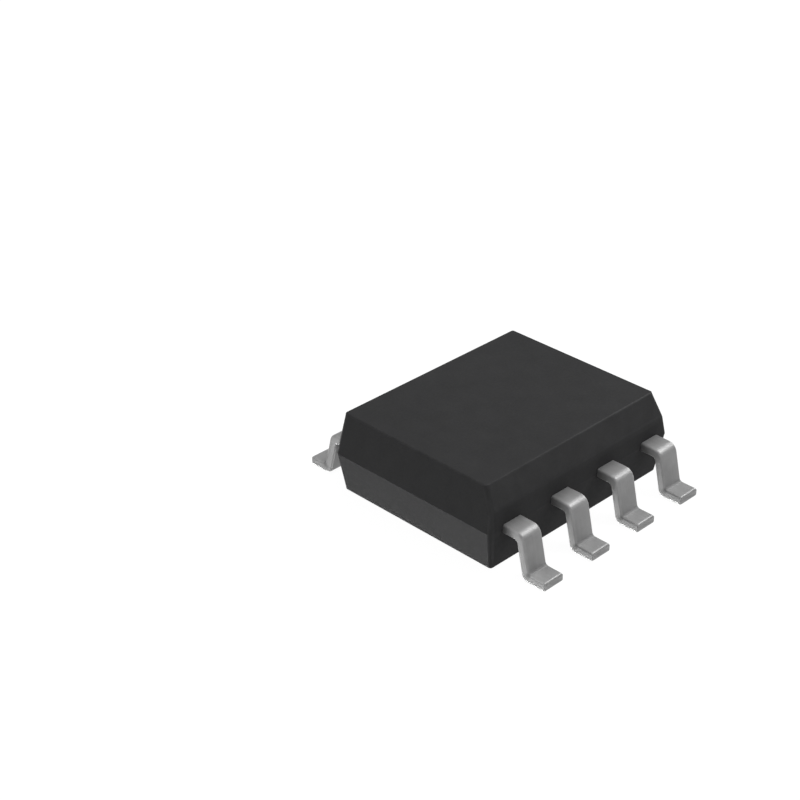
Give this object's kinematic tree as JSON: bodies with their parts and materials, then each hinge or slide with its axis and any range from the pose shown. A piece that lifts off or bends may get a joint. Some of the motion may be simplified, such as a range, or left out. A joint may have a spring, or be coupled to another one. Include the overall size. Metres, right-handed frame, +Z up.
{
  "type": "small-outline integrated circuit package",
  "caption": "Flat black moulded chip body with bevelled edge, gull-wing leads along two sides and a bare metal heat pad underneath, for surface soldering.",
  "frame": {"origin": "on the board plane, under the middle of the body", "axes": "+Z up from the board, +X along the rows of leads, +Y from the bevelled first row to the second row; lead 1 is at -X, -Y and the numbers run round anticlockwise seen from above"},
  "size_m": [0.005, 0.0058, 0.0017],
  "materials": {
    "moulding_compound": "fine matt moulded grain, charcoal black",
    "tin_plate": "satin matte tin",
    "silver_epoxy": "dull silver-filled resin",
    "silicon": "polished, dark grey-blue",
    "gold_wire": "bright drawn gold"
  },
  "bodies": {
    "root": {"moulded_body": "moulding_compound", "heat_pad": "tin_plate", "die_attach": "silver_epoxy", "die": "silicon", "lead_1": "tin_plate", "lead_2": "tin_plate", "lead_3": "tin_plate", "lead_4": "tin_plate", "lead_5": "tin_plate", "lead_6": "tin_plate", "lead_7": "tin_plate", "lead_8": "tin_plate", "bond_wire_1": "gold_wire", "bond_wire_2": "gold_wire", "bond_wire_3": "gold_wire", "bond_wire_4": "gold_wire", "bond_wire_5": "gold_wire", "bond_wire_6": "gold_wire", "bond_wire_7": "gold_wire", "bond_wire_8": "gold_wire"}
  },
  "joints": []
}
